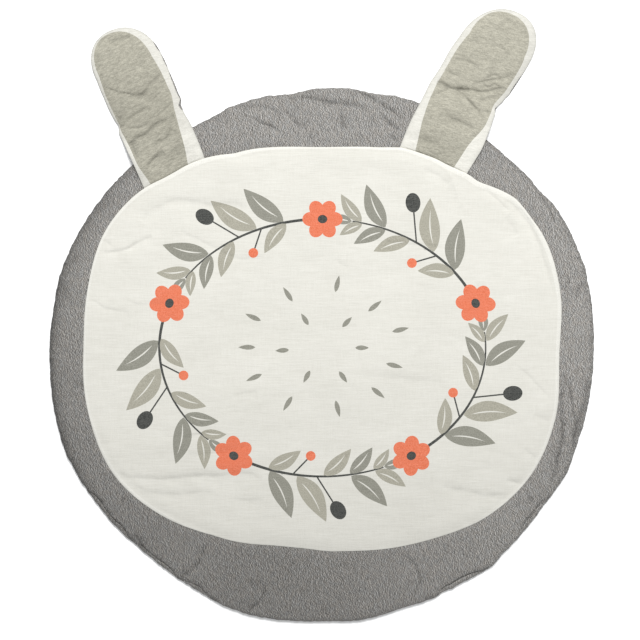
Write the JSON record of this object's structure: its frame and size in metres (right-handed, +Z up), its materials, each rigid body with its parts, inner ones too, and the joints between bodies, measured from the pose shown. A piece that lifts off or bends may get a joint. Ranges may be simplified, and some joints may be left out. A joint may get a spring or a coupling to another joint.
{
  "type": "round nursery rug",
  "caption": "Round padded nursery rug: off-white panel let into a heather-grey filled round, with filled ear flaps that lie over its rim; a child sits or plays on it.",
  "frame": {"origin": "on the floor under the middle of the round, in the flat underside", "axes": "+Z up from the floor, +Y from the middle of the round towards the side with the ears, +X to the right seen from above"},
  "size_m": [0.9509, 1.0701, 0.0218],
  "materials": {
    "grey_jersey": "heather jersey, brushed",
    "white_cotton": "matt woven cotton, printed",
    "ear_cotton": "matt woven cotton, printed"
  },
  "bodies": {
    "root": {"mat_body": "grey_jersey", "top_panel": "white_cotton", "ear_left": "ear_cotton", "ear_right": "ear_cotton"}
  },
  "joints": []
}
